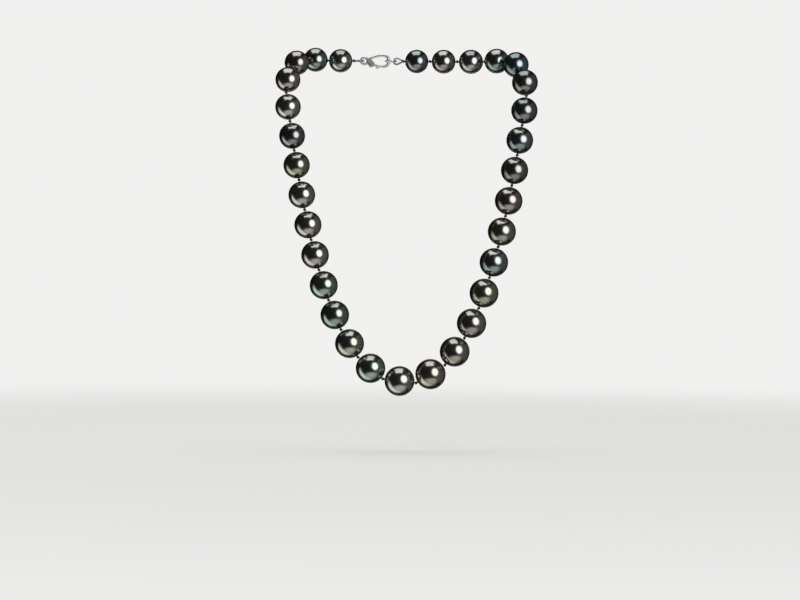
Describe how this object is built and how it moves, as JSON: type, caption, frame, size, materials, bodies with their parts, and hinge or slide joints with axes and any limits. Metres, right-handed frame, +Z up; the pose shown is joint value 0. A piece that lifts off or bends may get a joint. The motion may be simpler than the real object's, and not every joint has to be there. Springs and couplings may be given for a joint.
{
  "type": "pearl necklace",
  "caption": "Graduated strand of dark lustrous pearls, knotted one by one on black silk and closed at the nape by a lobster claw clasp, shown draped as worn.",
  "frame": {"origin": "midway between the two shoulder knots, where the front begins to hang", "axes": "+Z up, +X to the right as seen from the front, +Y towards the nape and the clasp"},
  "size_m": [0.1212, 0.0354, 0.1622],
  "materials": {
    "pearl_peacock": "polished",
    "pearl_aubergine": "polished",
    "pearl_bronze": "polished",
    "pearl_silver": "polished",
    "pearl_steel_blue": "polished",
    "silk": "matte",
    "white_metal": "polished"
  },
  "bodies": {
    "strand_back": {"thread_back_left": "silk", "thread_back_right": "silk", "french_wire_left": "white_metal", "french_wire_right": "white_metal"},
    "claw": {"claw_body": "white_metal", "claw_pin": "white_metal", "claw_spring": "white_metal"},
    "trigger": {"claw_trigger": "white_metal"},
    "ring": {"end_ring": "white_metal"},
    "row_01": {"thread_row_01": "silk"},
    "row_02": {"thread_row_02": "silk"},
    "row_03": {"thread_row_03": "silk"},
    "row_04": {"thread_row_04": "silk"},
    "row_05": {"thread_row_05": "silk"},
    "row_06": {"thread_row_06": "silk"},
    "row_07": {"thread_row_07": "silk"},
    "row_08": {"thread_row_08": "silk"},
    "row_09": {"thread_row_09": "silk"},
    "row_10": {"thread_row_10": "silk"},
    "pearl_01": {"pearl_01": "pearl_silver"},
    "pearl_02": {"pearl_02": "pearl_peacock"},
    "pearl_03": {"pearl_03": "pearl_aubergine"},
    "pearl_04": {"pearl_04": "pearl_aubergine"},
    "pearl_05": {"pearl_05": "pearl_peacock"},
    "pearl_06": {"pearl_06": "pearl_peacock"},
    "pearl_07": {"pearl_07": "pearl_bronze"},
    "pearl_08": {"pearl_08": "pearl_silver"},
    "pearl_09": {"pearl_09": "pearl_bronze"},
    "pearl_10": {"pearl_10": "pearl_aubergine"},
    "pearl_11": {"pearl_11": "pearl_peacock"},
    "pearl_12": {"pearl_12": "pearl_peacock"},
    "pearl_13": {"pearl_13": "pearl_silver"},
    "pearl_14": {"pearl_14": "pearl_peacock"},
    "pearl_15": {"pearl_15": "pearl_silver"},
    "pearl_16": {"pearl_16": "pearl_bronze"},
    "pearl_17": {"pearl_17": "pearl_bronze"},
    "pearl_18": {"pearl_18": "pearl_aubergine"},
    "pearl_19": {"pearl_19": "pearl_bronze"},
    "pearl_20": {"pearl_20": "pearl_peacock"},
    "pearl_21": {"pearl_21": "pearl_bronze"},
    "pearl_22": {"pearl_22": "pearl_aubergine"},
    "pearl_23": {"pearl_23": "pearl_steel_blue"},
    "pearl_24": {"pearl_24": "pearl_steel_blue"},
    "pearl_25": {"pearl_25": "pearl_steel_blue"},
    "pearl_26": {"pearl_26": "pearl_bronze"},
    "pearl_27": {"pearl_27": "pearl_steel_blue"},
    "pearl_28": {"pearl_28": "pearl_peacock"},
    "pearl_29": {"pearl_29": "pearl_silver"},
    "pearl_30": {"pearl_30": "pearl_aubergine"},
    "pearl_31": {"pearl_31": "pearl_steel_blue"}
  },
  "joints": [
    {"name": "clasp_claw_roll", "type": "hinge", "parent": "strand_back", "child": "claw", "pos_m": [-0.01977, 0.0223, 0.0175], "axis": [0.9996, 0.027, 0], "range_deg": [-20, 20]},
    {"name": "clasp_ring_roll", "type": "hinge", "parent": "strand_back", "child": "ring", "pos_m": [-0.00727, 0.02264, 0.0175], "axis": [0.9996, 0.027, 0], "range_deg": [-20, 20]},
    {"name": "clasp_trigger", "type": "hinge", "parent": "claw", "child": "trigger", "pos_m": [-0.01647, 0.02239, 0.01603], "axis": [0.027, -0.9996, 0], "range_deg": [0, 28], "stiffness_Nm_per_rad": 0.002, "springref_deg": -11.46},
    {"name": "front_row_01", "type": "hinge", "parent": "strand_back", "child": "row_01", "pos_m": [0, 0, 0], "axis": [-1, 0, 0.0067], "range_deg": [-12, 30]},
    {"name": "front_row_02", "type": "hinge", "parent": "row_01", "child": "row_02", "pos_m": [-0.00003, 0, -0.01342], "axis": [-0.9999, 0, 0.0106], "range_deg": [-12, 30]},
    {"name": "front_row_03", "type": "hinge", "parent": "row_02", "child": "row_03", "pos_m": [-0.00007, 0, -0.027], "axis": [-0.9999, 0, 0.0149], "range_deg": [-12, 30]},
    {"name": "front_row_04", "type": "hinge", "parent": "row_03", "child": "row_04", "pos_m": [-0.00013, 0, -0.04075], "axis": [-0.9998, 0, 0.0196], "range_deg": [-12, 30]},
    {"name": "front_row_05", "type": "hinge", "parent": "row_04", "child": "row_05", "pos_m": [-0.00019, 0, -0.05463], "axis": [-0.9997, 0, 0.0249], "range_deg": [-12, 30]},
    {"name": "front_row_06", "type": "hinge", "parent": "row_05", "child": "row_06", "pos_m": [-0.00028, 0, -0.06862], "axis": [-0.9995, 0, 0.031], "range_deg": [-12, 30]},
    {"name": "front_row_07", "type": "hinge", "parent": "row_06", "child": "row_07", "pos_m": [-0.0004, 0, -0.08266], "axis": [-0.9993, 0, 0.0384], "range_deg": [-12, 30]},
    {"name": "front_row_08", "type": "hinge", "parent": "row_07", "child": "row_08", "pos_m": [-0.00058, 0, -0.09664], "axis": [-0.9988, 0, 0.048], "range_deg": [-12, 30]},
    {"name": "front_row_09", "type": "hinge", "parent": "row_08", "child": "row_09", "pos_m": [-0.00088, 0, -0.11028], "axis": [-0.9981, 0, 0.0614], "range_deg": [-12, 30]},
    {"name": "front_row_10", "type": "hinge", "parent": "row_09", "child": "row_10", "pos_m": [-0.00139, 0, -0.12285], "axis": [-0.9966, 0, 0.082], "range_deg": [-12, 30]},
    {"name": "pearl_spin_01", "type": "hinge", "parent": "strand_back", "child": "pearl_01", "pos_m": [-0.02465, 0.02217, 0.0175], "axis": [-0.9997, -0.026, 0], "continuous": true},
    {"name": "pearl_spin_02", "type": "hinge", "parent": "strand_back", "child": "pearl_02", "pos_m": [-0.03719, 0.02184, 0.0175], "axis": [-0.8361, -0.5486, 0], "continuous": true},
    {"name": "pearl_spin_03", "type": "hinge", "parent": "strand_back", "child": "pearl_03", "pos_m": [-0.04785, 0.01485, 0.0175], "axis": [-0.4721, -0.798, -0.3746], "continuous": true},
    {"name": "pearl_spin_04", "type": "hinge", "parent": "strand_back", "child": "pearl_04", "pos_m": [-0.05396, 0.00451, 0.01265], "axis": [-0.0997, -0.3433, -0.9339], "continuous": true},
    {"name": "pearl_spin_05", "type": "hinge", "parent": "row_01", "child": "pearl_05", "pos_m": [-0.05527, 0, 0.00037], "axis": [0.1383, 0, -0.9904], "continuous": true},
    {"name": "pearl_spin_06", "type": "hinge", "parent": "row_02", "child": "pearl_06", "pos_m": [-0.05343, 0, -0.01285], "axis": [0.152, 0, -0.9884], "continuous": true},
    {"name": "pearl_spin_07", "type": "hinge", "parent": "row_03", "child": "pearl_07", "pos_m": [-0.05137, 0, -0.02624], "axis": [0.1689, 0, -0.9856], "continuous": true},
    {"name": "pearl_spin_08", "type": "hinge", "parent": "row_04", "child": "pearl_08", "pos_m": [-0.04905, 0, -0.03979], "axis": [0.1905, 0, -0.9817], "continuous": true},
    {"name": "pearl_spin_09", "type": "hinge", "parent": "row_05", "child": "pearl_09", "pos_m": [-0.04639, 0, -0.05348], "axis": [0.2186, 0, -0.9758], "continuous": true},
    {"name": "pearl_spin_10", "type": "hinge", "parent": "row_06", "child": "pearl_10", "pos_m": [-0.0433, 0, -0.06729], "axis": [0.2568, 0, -0.9665], "continuous": true},
    {"name": "pearl_spin_11", "type": "hinge", "parent": "row_07", "child": "pearl_11", "pos_m": [-0.03961, 0, -0.08116], "axis": [0.3112, 0, -0.9503], "continuous": true},
    {"name": "pearl_spin_12", "type": "hinge", "parent": "row_08", "child": "pearl_12", "pos_m": [-0.03508, 0, -0.09498], "axis": [0.3941, 0, -0.9191], "continuous": true},
    {"name": "pearl_spin_13", "type": "hinge", "parent": "row_09", "child": "pearl_13", "pos_m": [-0.02927, 0, -0.10854], "axis": [0.5303, 0, -0.8478], "continuous": true},
    {"name": "pearl_spin_14", "type": "hinge", "parent": "row_10", "child": "pearl_14", "pos_m": [-0.02135, 0, -0.12121], "axis": [0.76, 0, -0.6499], "continuous": true},
    {"name": "pearl_spin_15", "type": "hinge", "parent": "row_10", "child": "pearl_15", "pos_m": [-0.00983, 0, -0.13105], "axis": [0.9936, 0, -0.1128], "continuous": true},
    {"name": "pearl_spin_16", "type": "hinge", "parent": "row_10", "child": "pearl_16", "pos_m": [0.00542, 0, -0.13278], "axis": [0.846, 0, 0.5332], "continuous": true},
    {"name": "pearl_spin_17", "type": "hinge", "parent": "row_09", "child": "pearl_17", "pos_m": [0.01857, 0, -0.12449], "axis": [0.5832, 0, 0.8123], "continuous": true},
    {"name": "pearl_spin_18", "type": "hinge", "parent": "row_08", "child": "pearl_18", "pos_m": [0.02752, 0, -0.11203], "axis": [0.4223, 0, 0.9064], "continuous": true},
    {"name": "pearl_spin_19", "type": "hinge", "parent": "row_07", "child": "pearl_19", "pos_m": [0.03392, 0, -0.0983], "axis": [0.3272, 0, 0.945], "continuous": true},
    {"name": "pearl_spin_20", "type": "hinge", "parent": "row_06", "child": "pearl_20", "pos_m": [0.03881, 0, -0.08417], "axis": [0.2664, 0, 0.9639], "continuous": true},
    {"name": "pearl_spin_21", "type": "hinge", "parent": "row_05", "child": "pearl_21", "pos_m": [0.04274, 0, -0.06996], "axis": [0.2246, 0, 0.9745], "continuous": true},
    {"name": "pearl_spin_22", "type": "hinge", "parent": "row_04", "child": "pearl_22", "pos_m": [0.04601, 0, -0.05578], "axis": [0.1943, 0, 0.9809], "continuous": true},
    {"name": "pearl_spin_23", "type": "hinge", "parent": "row_03", "child": "pearl_23", "pos_m": [0.04879, 0, -0.04171], "axis": [0.1714, 0, 0.9852], "continuous": true},
    {"name": "pearl_spin_24", "type": "hinge", "parent": "row_02", "child": "pearl_24", "pos_m": [0.05122, 0, -0.02777], "axis": [0.1535, 0, 0.9881], "continuous": true},
    {"name": "pearl_spin_25", "type": "hinge", "parent": "row_01", "child": "pearl_25", "pos_m": [0.05336, 0, -0.01398], "axis": [0.1391, 0, 0.9903], "continuous": true},
    {"name": "pearl_spin_26", "type": "hinge", "parent": "strand_back", "child": "pearl_26", "pos_m": [0.05527, 0, -0.00037], "axis": [-0.0962, 0.3392, 0.9358], "continuous": true},
    {"name": "pearl_spin_27", "type": "hinge", "parent": "strand_back", "child": "pearl_27", "pos_m": [0.05397, 0.00459, 0.01231], "axis": [-0.4669, 0.7942, 0.389], "continuous": true},
    {"name": "pearl_spin_28", "type": "hinge", "parent": "strand_back", "child": "pearl_28", "pos_m": [0.04774, 0.0152, 0.0175], "axis": [-0.8322, 0.5544, 0], "continuous": true},
    {"name": "pearl_spin_29", "type": "hinge", "parent": "strand_back", "child": "pearl_29", "pos_m": [0.0368, 0.02248, 0.0175], "axis": [-0.9997, 0.0238, 0], "continuous": true},
    {"name": "pearl_spin_30", "type": "hinge", "parent": "strand_back", "child": "pearl_30", "pos_m": [0.02385, 0.02279, 0.0175], "axis": [-1, 0, 0], "continuous": true},
    {"name": "pearl_spin_31", "type": "hinge", "parent": "strand_back", "child": "pearl_31", "pos_m": [0.0111, 0.02279, 0.0175], "axis": [-1, 0, 0], "continuous": true}
  ]
}
